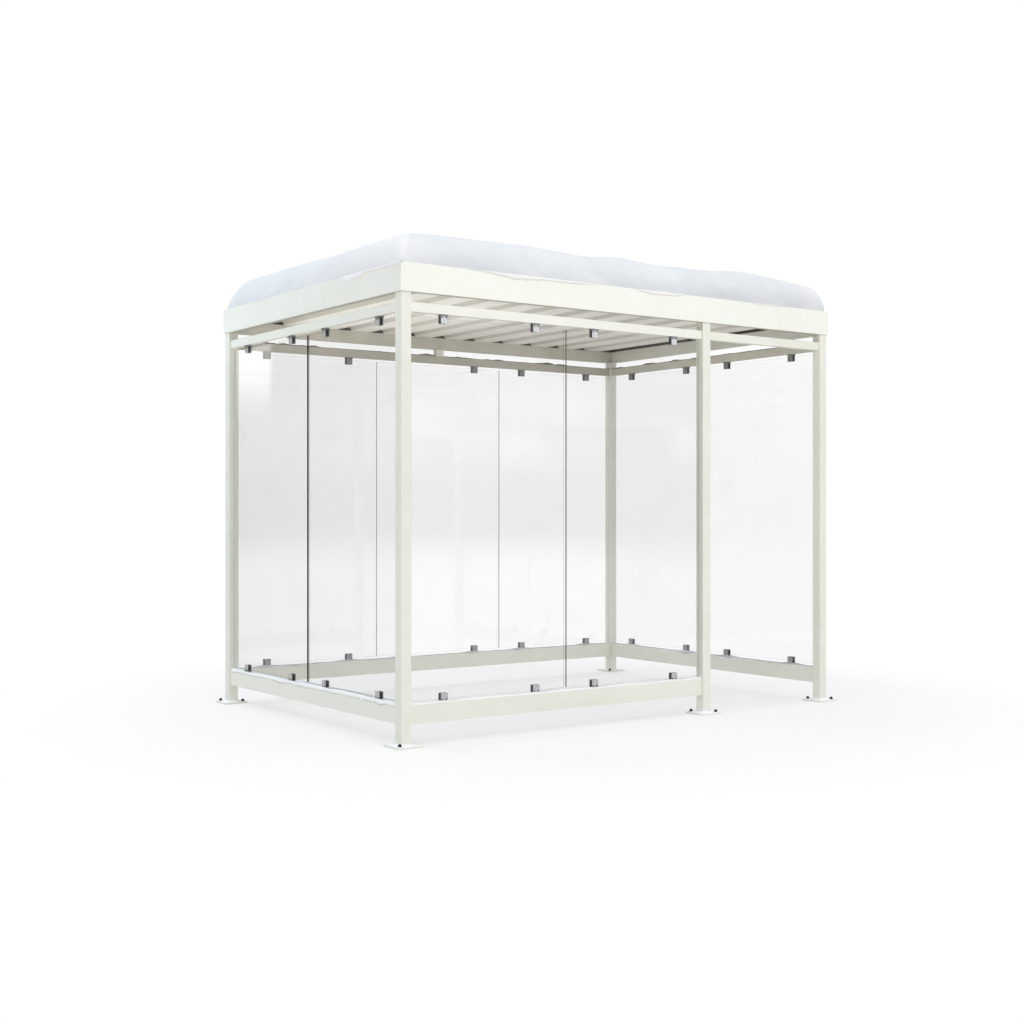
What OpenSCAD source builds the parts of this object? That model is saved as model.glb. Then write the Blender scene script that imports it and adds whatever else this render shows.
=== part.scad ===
// Glazed smoking shelter: a powder-coated steel frame on five posts, frameless
// glass walls held in edge clamps, an open doorway at the right of the front,
// and a ribbed steel roof deck inside a deep fascia, with settled snow on it.
// Origin: middle of the footprint, on the floor. +X along the long side towards
// the doorway end, +Y to the back, +Z up. Millimetres.

/* [Overall size] */
// Length over the posts' outer faces
length = 3180; // [2600:10:4200]
// Width over the posts' outer faces
width = 2165; // [1800:5:2800]
// Height from the floor to the top of the fascia
height = 2500; // [2250:10:2900]

/* [Posts and feet] */
// Side of the square post tube
post_size = 60; // [50:5:90]
// Wall of the post tube
post_wall = 3; // [2:0.5:5]
// Clear width of the doorway
door_clear = 955; // [800:5:1200]
// Side of the square base plate
plate_size = 150; // [120:5:200]
// Thickness of the base plate
plate_thick = 10; // [6:1:16]

/* [Floor anchors] */
// Diameter of the anchor stud
stud_d = 12; // [8:1:16]
// Play of the stud in its hole, on the diameter
stud_play = 2; // [1:0.5:4]
// Distance of a stud's centre from the two nearest edges of its plate
anchor_inset = 23; // [18:1:30]
// Diameter of the washer
washer_d = 24; // [20:1:30]
// Thickness of the washer
washer_t = 2.5; // [1.5:0.5:4]
// Diameter of the domed cap over the stud and its nut
cap_d = 20; // [18:1:26]
// Height of the cap's straight rim, below its dome
cap_rim = 5; // [3:1:10]

/* [Rails] */
// Depth of every rail, across the wall
rail_depth = 40; // [30:5:50]
// Wall of every rail tube
rail_wall = 3; // [2:0.5:4]
// Height of the lower rail
lower_rail_h = 100; // [60:5:140]
// Gap between the floor and the lower rail
floor_gap = 115; // [60:5:160]
// Height of the upper rail
upper_rail_h = 50; // [40:5:80]
// Open gap between the upper rail and the roof beam
vent_gap = 50; // [30:5:90]
// Width of the short stub over the middle of the back rail
stub_w = 60; // [40:5:90]

/* [Roof frame] */
// Height of the roof beam
beam_h = 80; // [60:5:110]
// Depth of the roof beam, across the wall
beam_depth = 40; // [30:5:60]
// Wall of the roof beam tube
beam_wall = 3; // [2:0.5:5]
// How far the roof beam's outer face stands out from the posts
beam_proud = 5; // [0:1:15]
// Height of the fascia strip
fascia_h = 150; // [130:5:220]
// Thickness of the fascia strip
fascia_t = 3; // [2:0.5:5]

/* [Roof deck] */
// Distance from rib to rib
rib_pitch = 250; // [180:10:340]
// Height of a rib
rib_h = 32; // [20:1:45]
// Width of a rib's open mouth, seen from below
rib_mouth = 110; // [90:5:140]
// Width of a rib's flat crown
rib_crown = 60; // [30:5:80]
// Thickness of the sheet
deck_t = 1; // [0.8:0.1:2]
// Gap between the sheet's edges and the fascia
deck_gap = 5; // [2:1:12]
// Distance of the foam fillers under the sheet from the roof beam's inner face
filler_set = 1; // [0:0.5:3]
// Distance of the foam fillers from the sheet's edges
filler_inset = 4; // [0:1:8]

/* [Glass] */
// Thickness of a pane
glass_t = 10; // [6:1:12]
// Upright gap between panes, and between a pane and a post
glass_gap = 15; // [8:1:25]
// Gap between a pane and the rails below and above it
glass_edge_gap = 17.5; // [10:0.5:25]
// Panes in the front wall, beside the doorway
front_panes = 2; // [1:1:3]
// Panes in the back wall
back_panes = 3; // [2:1:4]
// Panes in the left wall and in the right wall
side_panes = 2; // [1:1:3]

/* [Glass clamps] */
// Width of a clamp along the rail
clamp_w = 46; // [36:1:60]
// Height of a clamp from the rail's face
clamp_h = 48; // [40:1:60]
// Depth of a clamp's body, across the glass
clamp_depth = 26; // [22:1:32]
// Height of the clamp's foot on the rail
clamp_foot_h = 8; // [5:1:12]
// Depth of the clamp's foot
clamp_foot_depth = 36; // [30:1:40]
// Distance of a clamp's centre from the upright edge of its pane
clamp_inset = 200; // [100:10:300]
// Depth left between a pane's edge and the floor of the clamp's slot
clamp_relief = 3; // [1:0.5:6]

/* [Snow] */
// Depth of the snow over the ribs' crowns
snow_depth = 250; // [80:5:300]
// Distance of the snow's edge from the fascia's outer face
snow_setback = 8; // [6:1:80]
// How far the snow's top plateau lies inside its edge
snow_shoulder = 140; // [60:10:300]

/* [Hidden] */
// Heights
beam_z = height - fascia_h;
upper_rail_z = beam_z - vent_gap - upper_rail_h;
lower_rail_top = floor_gap + lower_rail_h;
glass_z = lower_rail_top + glass_edge_gap;
glass_h = upper_rail_z - glass_edge_gap - glass_z;
deck_z = beam_z + beam_h;
snow_z = deck_z + rib_h + deck_t;

// Half sizes of the frame, to the outer faces of the posts, beams and fascia
half_l = length / 2;
half_w = width / 2;
beam_half_l = half_l + beam_proud;
beam_half_w = half_w + beam_proud;
fascia_half_l = beam_half_l + fascia_t;
fascia_half_w = beam_half_w + fascia_t;

// Post centres
post_x = half_l - post_size / 2;
post_y = half_w - post_size / 2;
door_post_x = half_l - post_size - door_clear - post_size / 2;

// Clear widths between posts
side_clear = width - 2 * post_size;
back_clear = length - 2 * post_size;
front_clear = door_post_x + post_x - post_size;
front_mid = (door_post_x - post_x) / 2;
door_mid = (door_post_x + post_x) / 2;

// Half sizes of the deck's sheet
deck_half_l = beam_half_l - deck_gap;
deck_half_w = beam_half_w - deck_gap;

// Ribs stand every rib_pitch to both sides of the middle one
ribs_each_side = floor((half_l - rib_crown / 2) / rib_pitch);
last_rib_x = ribs_each_side * rib_pitch;

// Overshoot of a cut past the face it opens
eps = 1;

WALLS = ["front", "back", "left", "right"];

// Panes in a wall, the clear width between its posts, and one pane's width
function panes(wall) = wall == "front" ? front_panes : wall == "back" ? back_panes : side_panes;
function clear(wall) = wall == "front" ? front_clear : wall == "back" ? back_clear : side_clear;
function pane_w(wall) = (clear(wall) - (panes(wall) + 1) * glass_gap) / panes(wall);

// Left edge of a wall's pane number i, measured from the middle of the wall
function pane_x(wall, i) = -clear(wall) / 2 + glass_gap + (i - 1) * (pane_w(wall) + glass_gap);

// Places a wall drawn along X, with its outside towards -Y, on its side of the frame
module on_wall(wall) {
    if (wall == "front") translate([front_mid, -post_y, 0]) children();
    if (wall == "back") translate([0, post_y, 0]) rotate([0, 0, 180]) children();
    if (wall == "left") translate([-post_x, 0, 0]) rotate([0, 0, -90]) children();
    if (wall == "right") translate([post_x, 0, 0]) rotate([0, 0, 90]) children();
}

// Block centred on X and Y, standing on z
module block(x, y, z, h) {
    translate([-x / 2, -y / 2, z]) cube([x, y, h]);
}

// Places for the five posts: x, y, and the diagonal that the anchors lie on
FEET = [
    [-post_x, -post_y, 1],
    [-post_x, post_y, -1],
    [door_post_x, -post_y, -1],
    [post_x, -post_y, -1],
    [post_x, post_y, 1],
];

// The two anchor places of every foot
module at_anchors() {
    reach = plate_size / 2 - anchor_inset;
    for (foot = FEET, end = [-1, 1])
        translate([foot.x + end * reach, foot.y + end * foot.z * reach, 0]) children();
}

// Square base plates under the posts, each with two anchor holes
module base_plates() {
    color("ivory") difference() {
        for (foot = FEET) translate([foot.x, foot.y, 0]) block(plate_size, plate_size, 0, plate_thick);
        at_anchors() translate([0, 0, -eps])
            cylinder(h = plate_thick + 2 * eps, d = stud_d + stud_play, $fn = 48);
    }
}

// Anchor studs through the plates, each with its washer and a domed cap on its nut
module anchor_bolts() {
    cap_z = plate_thick + washer_t;
    color("dimgray") at_anchors() {
        cylinder(h = cap_z + cap_rim, d = stud_d, $fn = 48);
        translate([0, 0, plate_thick]) cylinder(h = washer_t, d = washer_d, $fn = 48);
        translate([0, 0, cap_z]) intersection() {
            cylinder(h = cap_rim + cap_d / 2, d = cap_d, $fn = 48);
            union() {
                cylinder(h = cap_rim, d = cap_d, $fn = 48);
                translate([0, 0, cap_rim]) sphere(d = cap_d, $fn = 48);
            }
        }
    }
}

// Square tube from the base plate to the underside of the roof beams
module post(x, y) {
    inner = post_size - 2 * post_wall;
    color("ivory") translate([x, y, plate_thick]) difference() {
        block(post_size, post_size, 0, beam_z - plate_thick);
        block(inner, inner, -eps, beam_z - plate_thick + 2 * eps);
    }
}

// Rectangular tube along X between two posts, open at its ends
module rail(run, z, h) {
    color("ivory") difference() {
        block(run, rail_depth, z, h);
        block(run + 2 * eps, rail_depth - 2 * rail_wall, z + rail_wall, h - 2 * rail_wall);
    }
}

// Lower rail of a wall
module lower_rail(wall) {
    on_wall(wall) rail(clear(wall), floor_gap, lower_rail_h);
}

// Upper rail of a wall
module upper_rail(wall) {
    on_wall(wall) rail(clear(wall), upper_rail_z, upper_rail_h);
}

// Upper rail carried on over the doorway
module door_header_rail() {
    translate([door_mid, -post_y, 0]) rail(door_clear, upper_rail_z, upper_rail_h);
}

// Short upright tube between the middle of the back upper rail and the roof beam
module back_rail_stub() {
    z = upper_rail_z + upper_rail_h;
    color("ivory") translate([0, post_y, z]) difference() {
        block(stub_w, rail_depth, 0, vent_gap);
        block(stub_w - 2 * rail_wall, rail_depth - 2 * rail_wall, -eps, vent_gap + 2 * eps);
    }
}

// Plan of one mitred side of a ring: the side at -Y, from inset a to inset b of a
// rectangle with the given half sizes, its ends run on by over
module ring_side(hx, hy, a, b, over = 0) {
    polygon([
        [-hx + a - over, -hy + a],
        [hx - a + over, -hy + a],
        [hx - b + over, -hy + b],
        [-hx + b - over, -hy + b],
    ]);
}

// Puts a side drawn at -Y on its own side of the roof
module on_roof_side(wall) {
    turn = wall == "front" ? 0 : wall == "right" ? 90 : wall == "back" ? 180 : -90;
    rotate([0, 0, turn]) children();
}

// Half run and half reach of a roof side, from the half sizes along X and Y
function is_long(wall) = wall == "front" || wall == "back";
function half_run(wall, hx, hy) = is_long(wall) ? hx : hy;
function half_reach(wall, hx, hy) = is_long(wall) ? hy : hx;

// Mitred rectangular tube over the posts, which carries the deck
module roof_beam(wall) {
    hx = half_run(wall, beam_half_l, beam_half_w);
    hy = half_reach(wall, beam_half_l, beam_half_w);
    color("ivory") on_roof_side(wall) translate([0, 0, beam_z]) difference() {
        linear_extrude(beam_h) ring_side(hx, hy, 0, beam_depth);
        translate([0, 0, beam_wall]) linear_extrude(beam_h - 2 * beam_wall)
            ring_side(hx, hy, beam_wall, beam_depth - beam_wall, eps);
    }
}

// Mitred fascia strip on the outer face of the roof beam, up past the deck
module fascia(wall) {
    hx = half_run(wall, fascia_half_l, fascia_half_w);
    hy = half_reach(wall, fascia_half_l, fascia_half_w);
    color("ivory") on_roof_side(wall) translate([0, 0, beam_z])
        linear_extrude(fascia_h) ring_side(hx, hy, 0, fascia_t);
}

// Underside of one rib's sheet, left to right, as points in X and Z
function rib(x) = [
    [x - rib_mouth / 2, 0],
    [x - rib_crown / 2, rib_h],
    [x + rib_crown / 2, rib_h],
    [x + rib_mouth / 2, 0],
];

// Trapezoidal sheet whose ribs run from front to back, its edges ending on a crown
module roof_deck() {
    last = ribs_each_side;
    ribs = [for (k = [-last : last], p = rib(k * rib_pitch)) p];
    inner = [for (i = [1 : len(ribs) - 2]) ribs[i]];
    under = concat([[-deck_half_l, rib_h]], inner, [[deck_half_l, rib_h]]);
    over = [for (i = [len(under) - 1 : -1 : 0]) under[i] + [0, deck_t]];
    color("gainsboro") translate([0, deck_half_w, deck_z]) rotate([90, 0, 0])
        linear_extrude(2 * deck_half_w) polygon(concat(under, over));
}

// Foam fillers on the roof beams, which close the ribs' ends and the sheet's long edges
module rib_fillers() {
    depth = beam_depth - deck_gap - filler_set - filler_inset;
    outer_x = deck_half_l - filler_inset;
    outer_y = deck_half_w - filler_inset;
    inner_x = max(outer_x - depth, last_rib_x - rib_crown / 2);
    end_plug = [
        [last_rib_x - rib_mouth / 2, 0],
        [last_rib_x - rib_crown / 2, rib_h],
        [outer_x, rib_h],
        [outer_x, 0],
    ];
    color("dimgray") translate([0, 0, deck_z]) {
        for (y = [depth - outer_y, outer_y])
            translate([0, y, 0]) rotate([90, 0, 0]) linear_extrude(depth) {
                for (k = [1 - ribs_each_side : ribs_each_side - 1]) polygon(rib(k * rib_pitch));
                polygon(end_plug);
                mirror([1, 0, 0]) polygon(end_plug);
            }
        for (side = [-1, 1]) translate([side * (inner_x + outer_x) / 2, 0, 0])
            block(outer_x - inner_x, 2 * (outer_y - depth), 0, rib_h);
    }
}

// One pane, clear of the posts and the rails all round
module glass(wall, i) {
    color("lightcyan", 0.4) on_wall(wall)
        translate([pane_x(wall, i), -glass_t / 2, glass_z]) cube([pane_w(wall), glass_t, glass_h]);
}

// Clamp that stands on a rail's face at z = 0 and grips a pane's edge above it
module clamp() {
    slot_z = glass_edge_gap - clamp_relief;
    difference() {
        union() {
            block(clamp_w, clamp_foot_depth, 0, clamp_foot_h);
            block(clamp_w, clamp_depth, 0, clamp_h);
        }
        block(clamp_w + 2 * eps, glass_t, slot_z, clamp_h - slot_z + eps);
    }
}

// Two clamps below and two above each pane of a wall
module clamps(wall) {
    color("silver") on_wall(wall) for (i = [1 : panes(wall)]) {
        left = pane_x(wall, i);
        for (x = [left + clamp_inset, left + pane_w(wall) - clamp_inset]) {
            translate([x, 0, lower_rail_top]) clamp();
            translate([x, 0, upper_rail_z]) mirror([0, 0, 1]) clamp();
        }
    }
}

// Settled snow on the deck: upright sides, then a round shoulder up to the plateau
module roof_snow() {
    snow_x = fascia_half_l - snow_setback;
    snow_y = fascia_half_w - snow_setback;
    slabs = [
        [0, 0],
        [0, snow_depth * 0.3],
        [snow_shoulder * 0.12, snow_depth * 0.55],
        [snow_shoulder * 0.3, snow_depth * 0.76],
        [snow_shoulder * 0.6, snow_depth * 0.92],
        [snow_shoulder, snow_depth],
    ];
    color("white") translate([0, 0, snow_z]) hull()
        for (s = slabs) block(2 * (snow_x - s.x), 2 * (snow_y - s.x), max(s.y - eps, 0), eps);
}

base_plates();
anchor_bolts();
post(-post_x, -post_y);  // post_front_left
post(-post_x, post_y);  // post_back_left
post(door_post_x, -post_y);  // post_door
post(post_x, -post_y);  // post_front_right
post(post_x, post_y);  // post_back_right
for (w = WALLS) lower_rail(w);
for (w = WALLS) upper_rail(w);
door_header_rail();
back_rail_stub();
for (w = WALLS) roof_beam(w);
for (w = WALLS) fascia(w);
roof_deck();
rib_fillers();
for (w = WALLS, i = [1 : panes(w)]) glass(w, i);
for (w = WALLS) clamps(w);
roof_snow();
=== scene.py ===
import math

import bmesh
import bpy
from mathutils import Matrix, Vector, noise


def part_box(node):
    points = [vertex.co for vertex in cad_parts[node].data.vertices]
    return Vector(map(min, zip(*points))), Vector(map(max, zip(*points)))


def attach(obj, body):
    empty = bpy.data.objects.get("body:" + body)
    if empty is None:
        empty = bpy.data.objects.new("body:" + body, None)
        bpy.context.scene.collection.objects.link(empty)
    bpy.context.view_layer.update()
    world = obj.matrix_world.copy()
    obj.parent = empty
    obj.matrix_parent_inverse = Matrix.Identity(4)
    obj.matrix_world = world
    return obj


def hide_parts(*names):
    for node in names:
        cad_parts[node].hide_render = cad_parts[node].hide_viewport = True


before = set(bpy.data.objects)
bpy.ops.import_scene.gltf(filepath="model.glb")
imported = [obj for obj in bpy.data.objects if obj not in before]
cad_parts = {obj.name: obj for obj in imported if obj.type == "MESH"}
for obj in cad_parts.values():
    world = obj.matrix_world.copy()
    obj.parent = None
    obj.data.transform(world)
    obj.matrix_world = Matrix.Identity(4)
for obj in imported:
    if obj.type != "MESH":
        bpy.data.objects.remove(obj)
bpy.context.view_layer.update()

# ---------------------------------------------------------------------------
# Studio. A white floor under a pale overcast dome, with soft lamps before the front and
# the left side, a weak sun, and a spot on the floor for the light that the ground throws
# up under the roof. The floor takes the shelter's shadow and is plain white past it.
EYE = (-5.3663, -7.3531, 1.213)
EYE_TURN = -35.511
DOME_TINT = (0.965, 1.0, 1.045, 1)
DOME_LEVEL = 0.44
DOME_OVERHEAD = 0.56
DOME_BEHIND = -0.20
FLOOR_REACH = 120
FLOOR_WARM = (0.85, 0.80, 0.745, 1)
FLOOR_WHITE = (0.375, 0.368, 0.367, 1)
FLOOR_LIFT = 0.545
SHADOW_FADE = (1.9, 3.6)

scene = bpy.context.scene
scene.view_settings.view_transform = "Standard"


def link_object(name, data):
    made = bpy.data.objects.new(name, data)
    scene.collection.objects.link(made)
    return made


camera = link_object("camera", bpy.data.cameras.new("camera"))
camera.location = EYE
camera.rotation_euler = (math.radians(90), 0, math.radians(EYE_TURN))
camera.data.lens = 50
camera.data.sensor_width = 36
camera.data.clip_end = 300
scene.camera = camera


def add_node(tree, kind, name="", inputs=None, **settings):
    """A node with its settings; an input is a value, or a socket to link from."""
    made = tree.nodes.new(kind)
    if name:
        made.name = made.label = name
    for key, value in settings.items():
        setattr(made, key, value)
    for key, value in (inputs or {}).items():
        socket = made.inputs[key]
        if isinstance(value, bpy.types.NodeSocket):
            tree.links.new(value, socket)
        else:
            socket.default_value = value
    return made


def coordinate(tree, kind="Object"):
    return add_node(tree, "ShaderNodeTexCoord").outputs[kind]


def axes_of(tree, name, vector):
    """The X, Y and Z of a vector, by name or by number."""
    return add_node(tree, "ShaderNodeSeparateXYZ", name, inputs={0: vector}).outputs


def maths(tree, name, operation, *values):
    """One step of arithmetic on numbers or sockets."""
    return add_node(tree, "ShaderNodeMath", name, inputs=dict(enumerate(values)),
                    operation=operation).outputs[0]


def spread(tree, name, value, low, high, to_low=0.0, to_high=1.0):
    """Goes smoothly from to_low to to_high as the value goes from low to high."""
    return add_node(tree, "ShaderNodeMapRange", name, interpolation_type="SMOOTHSTEP",
                    inputs={"Value": value, "From Min": low, "From Max": high,
                            "To Min": to_low, "To Max": to_high}).outputs["Result"]


def mix_shaders(tree, name, factor, first, second):
    return add_node(tree, "ShaderNodeMixShader", name,
                    inputs={0: factor, 1: first, 2: second}).outputs[0]


def seen_directly(tree):
    """1 for rays that look at the white surroundings: from the camera, off gloss, or through glass."""
    path = add_node(tree, "ShaderNodeLightPath", "ray kind").outputs
    gloss = maths(tree, "camera or gloss", "MAXIMUM", path["Is Camera Ray"], path["Is Glossy Ray"])
    return maths(tree, "or through glass", "MAXIMUM", gloss, path["Is Transmission Ray"])


world = bpy.data.worlds.new("overcast_dome")
scene.world = world
world.use_nodes = True
tree = world.node_tree
tree.nodes.clear()
upward = axes_of(tree, "upward", coordinate(tree, "Generated"))
overhead = maths(tree, "brighter overhead", "MULTIPLY_ADD", upward["Z"], DOME_OVERHEAD, DOME_LEVEL)
level = maths(tree, "brighter in front", "MULTIPLY_ADD", upward["Y"], DOME_BEHIND, overhead)
dome = add_node(tree, "ShaderNodeBackground", "overcast dome",
                inputs={"Color": DOME_TINT, "Strength": level})
white = add_node(tree, "ShaderNodeBackground", "white surroundings",
                 inputs={"Color": (1, 1, 1, 1), "Strength": 1.0})
sky = mix_shaders(tree, "dome or white", seen_directly(tree), dome.outputs[0], white.outputs[0])
add_node(tree, "ShaderNodeOutputWorld", inputs={"Surface": sky})


def hide_lamp(lamp):
    """Leaves a lamp's light, and takes the lamp itself out of view and reflections."""
    lamp.visible_camera = lamp.visible_glossy = False


def soft_lamp(name, place, aim, size, watts, colour):
    lamp = bpy.data.lights.new(name, "AREA")
    lamp.shape = "RECTANGLE"
    lamp.size, lamp.size_y = size
    lamp.energy = watts
    lamp.color = colour
    made = link_object(name, lamp)
    made.location = place
    made.rotation_euler = (Vector(aim) - Vector(place)).to_track_quat("-Z", "Y").to_euler()
    hide_lamp(made)


soft_lamp("front_lamp", (-0.2, -3.6, 4.6), (0.1, -1.1, 2.4), (4.6, 0.7), 32, (1.0, 0.985, 0.95))
soft_lamp("far_lamp", (-0.4, -9.0, 3.9), (0.0, -1.1, 1.6), (7.0, 1.4), 59, (1.0, 0.98, 0.95))
soft_lamp("side_lamp", (-4.5, 3.3, 4.6), (-1.6, 0.8, 1.2), (2.4, 1.4), 84, (0.79, 0.965, 1.08))
glow_lamp = bpy.data.lights.new("floor_glow", "SPOT")
glow_lamp.energy = 78
glow_lamp.color = (1.0, 0.985, 0.95)
glow_lamp.spot_size = math.radians(60)
glow_lamp.spot_blend = 1.0
glow_lamp.shadow_soft_size = 0.15
floor_glow = link_object("floor_glow", glow_lamp)
floor_glow.location = (-1.02, 0.20, 0.05)
floor_glow.rotation_euler = (math.radians(180), 0, 0)
hide_lamp(floor_glow)
sun = bpy.data.lights.new("sun", "SUN")
sun.energy = 0.42
sun.angle = math.radians(3)
link_object("sun", sun)


def new_look(name):
    look = bpy.data.materials.new(name)
    look.use_nodes = True
    look.node_tree.nodes.clear()
    return look, look.node_tree


def finish_look(tree, surface):
    add_node(tree, "ShaderNodeOutputMaterial", inputs={"Surface": surface})


def piece_from(name, shape, looks):
    """An object made of a finished bmesh, with its materials."""
    mesh = bpy.data.meshes.new(name)
    shape.to_mesh(mesh)
    shape.free()
    for look in looks:
        mesh.materials.append(look)
    return link_object(name, mesh)


floor_look, tree = new_look("white_floor")
warm = add_node(tree, "ShaderNodeBsdfDiffuse", "warm floor", inputs={"Color": FLOOR_WARM})
clean = add_node(tree, "ShaderNodeBsdfDiffuse", "white floor", inputs={"Color": FLOOR_WHITE})
lift = add_node(tree, "ShaderNodeEmission", "lift to white", inputs={"Strength": FLOOR_LIFT})
pale = add_node(tree, "ShaderNodeAddShader", inputs={0: clean.outputs[0], 1: lift.outputs[0]})
plain = add_node(tree, "ShaderNodeEmission", "plain white", inputs={"Strength": 1.0})
distance = add_node(tree, "ShaderNodeVectorMath", "distance from the shelter", operation="LENGTH",
                    inputs={0: coordinate(tree)})
afar = spread(tree, "plain white far off", distance.outputs["Value"], *SHADOW_FADE)
swept = mix_shaders(tree, "shadow near, white far", afar, pale.outputs[0], plain.outputs[0])
finish_look(tree, mix_shaders(tree, "white where seen", seen_directly(tree), warm.outputs[0], swept))
shape = bmesh.new()
bmesh.ops.create_grid(shape, x_segments=1, y_segments=1, size=FLOOR_REACH)
floor = piece_from("floor", shape, [floor_look])

# ---------------------------------------------------------------------------
# Studio cards. A grey wall round the studio and a grey sheet on its floor, white in
# front, with soft blocks from head height up and a pale window at the back left. Only
# gloss sees them, so they are what the panes reflect.
CARD_REACH = 13.0
CARD_TALL = 9.0
CARD_SEGMENTS = 96
SHEET_UP = 0.003
CARD_DARK = 0.13
CARD_SIDE = 0.45
# The window's sides, in degrees round from +X, and its height, each from dark to bright.
WINDOW_NEAR = (118.0, 118.6)
WINDOW_FAR = (121.35, 120.95)
WINDOW_HEIGHT = (2.35, 3.35)
WINDOW_GLOW = 1.25


def cloud(tree, name, place, scale, detail=3.0, roughness=0.55):
    """A soft random pattern, of about as many lumps a metre as its scale says."""
    return add_node(tree, "ShaderNodeTexNoise", name,
                    inputs={"Vector": place, "Scale": scale, "Detail": detail,
                            "Roughness": roughness}).outputs["Fac"]


def times(tree, first, second):
    return maths(tree, "", "MULTIPLY", first, second)


def card_look():
    """Grey at the sides and white in front low down, and dark with blocks and a window higher up."""
    look, tree = new_look("grey_cards")
    place = axes_of(tree, "place", coordinate(tree))
    ahead = maths(tree, "ahead of the front", "MULTIPLY_ADD", place["X"], 0.5,
                  times(tree, place["Y"], -1.0))
    low = spread(tree, "white in front", ahead, 0.0, 1.5, CARD_SIDE, 1.0)
    angle = maths(tree, "angle", "ARCTAN2", place["Y"], place["X"])
    wall = add_node(tree, "ShaderNodeCombineXYZ", "along and up",
                    inputs={0: times(tree, angle, CARD_REACH), 1: place["Z"]}).outputs[0]
    blocks = add_node(tree, "ShaderNodeTexBrick", "blocks",
                      inputs={"Vector": wall, "Color1": (0.0, 0.0, 0.0, 1), "Color2": (0.8, 0.8, 0.8, 1),
                              "Mortar": (0.45, 0.45, 0.45, 1), "Scale": 1.0, "Mortar Size": 0.10,
                              "Mortar Smooth": 1.0, "Brick Width": 1.9, "Row Height": 0.62})
    patch = spread(tree, "block patches", cloud(tree, "patch", wall, 0.16, 2), 0.42, 0.62)
    band = spread(tree, "from head height up", place["Z"], 1.4, 2.3)
    glow = times(tree, times(tree, blocks.outputs["Color"], patch), band)
    span = times(tree, spread(tree, "window's near side", angle, *map(math.radians, WINDOW_NEAR)),
                 spread(tree, "window's far side", angle, *map(math.radians, WINDOW_FAR)))
    window = times(tree, span, spread(tree, "paler upwards", place["Z"], *WINDOW_HEIGHT, 0, WINDOW_GLOW))
    lit = maths(tree, "blocks and window", "ADD", glow, window)
    high = maths(tree, "dark with blocks", "ADD", lit, CARD_DARK)
    rise = spread(tree, "from the ground up", place["Z"], 0.30, 1.05)
    level = add_node(tree, "ShaderNodeMix", "low to high", data_type="FLOAT",
                     inputs={0: rise, 2: low, 3: high})
    shine = add_node(tree, "ShaderNodeEmission", "card", inputs={"Strength": level.outputs[0]})
    finish_look(tree, shine.outputs[0])
    return look


cards_look = card_look()
wall_shape = bmesh.new()
bmesh.ops.create_cone(wall_shape, cap_ends=False, segments=CARD_SEGMENTS, radius1=CARD_REACH,
                      radius2=CARD_REACH, depth=CARD_TALL,
                      matrix=Matrix.Translation((0, 0, CARD_TALL / 2)))
sheet_shape = bmesh.new()
bmesh.ops.create_circle(sheet_shape, cap_ends=True, segments=CARD_SEGMENTS, radius=CARD_REACH,
                        matrix=Matrix.Translation((0, 0, SHEET_UP)))
for name, shape in (("card_wall", wall_shape), ("card_sheet", sheet_shape)):
    card = piece_from(name, shape, [cards_look])
    card.visible_camera = card.visible_diffuse = card.visible_transmission = card.visible_shadow = False

# ---------------------------------------------------------------------------
# Base plates. Five square steel plates, 150 mm by 10 mm, one welded under each
# post and coated with it. Each is bolted to the ground on one diagonal.
COAT_PALE = (0.845, 0.855, 0.768, 1)
COAT_DULL = (0.815, 0.825, 0.735, 1)
COAT_GRIME = (0.68, 0.68, 0.585, 1)
COAT_FROST = (0.90, 0.93, 0.93, 1)
PLATE_EDGE = 0.0015


def scaled_place(tree, scale):
    """The place on the object, scaled along X, Y and Z, for patterns that are longer one way."""
    return add_node(tree, "ShaderNodeMapping", "pattern size",
                    inputs={"Vector": coordinate(tree), "Scale": scale}).outputs[0]


def blend_colour(tree, name, factor, first, second):
    return add_node(tree, "ShaderNodeMix", name, data_type="RGBA",
                    inputs={0: factor, 6: first, 7: second}).outputs[2]


def relief(tree, name, height, strength, distance, under=None):
    """Fine relief from a pattern, on top of the relief under it if there is one."""
    made = add_node(tree, "ShaderNodeBump", name,
                    inputs={"Height": height, "Strength": strength, "Distance": distance})
    if under is not None:
        tree.links.new(under, made.inputs["Normal"])
    return made.outputs[0]


def finish_solid(tree, name, inputs):
    """Ends a look in one shader for an opaque surface."""
    shader = add_node(tree, "ShaderNodeBsdfPrincipled", name, inputs=inputs)
    finish_look(tree, shader.outputs[0])


def powder_coat(name, pale, dull, frost=0.25, gloss=0.36):
    """Satin powder coat: cloudy tone, rain streaks, orange peel, and frost in soft patches."""
    look, tree = new_look(name)
    place = coordinate(tree)
    tone = spread(tree, "cloudy tone", cloud(tree, "tone", place, 2.3, 4), 0.38, 0.64)
    colour = blend_colour(tree, "coat", tone, dull, pale)
    streak = cloud(tree, "streaks", scaled_place(tree, (26, 26, 1.4)), 1.0)
    colour = blend_colour(tree, "rain streaks", spread(tree, "streak", streak, 0.56, 0.80, 0, 0.16),
                          colour, COAT_GRIME)
    patch = cloud(tree, "frost patches", place, 9.0, 5, 0.7)
    colour = blend_colour(tree, "frost", spread(tree, "frosted", patch, 0.50, 0.74, 0, frost),
                          colour, COAT_FROST)
    peel = relief(tree, "orange peel", cloud(tree, "peel", place, 420.0, 2), 0.25, 0.0004)
    rough = spread(tree, "satin", patch, 0.3, 0.75, gloss - 0.05, gloss + 0.12)
    finish_solid(tree, "coat", {"Base Color": colour, "Roughness": rough, "Normal": peel, "IOR": 1.48})
    return look


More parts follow.
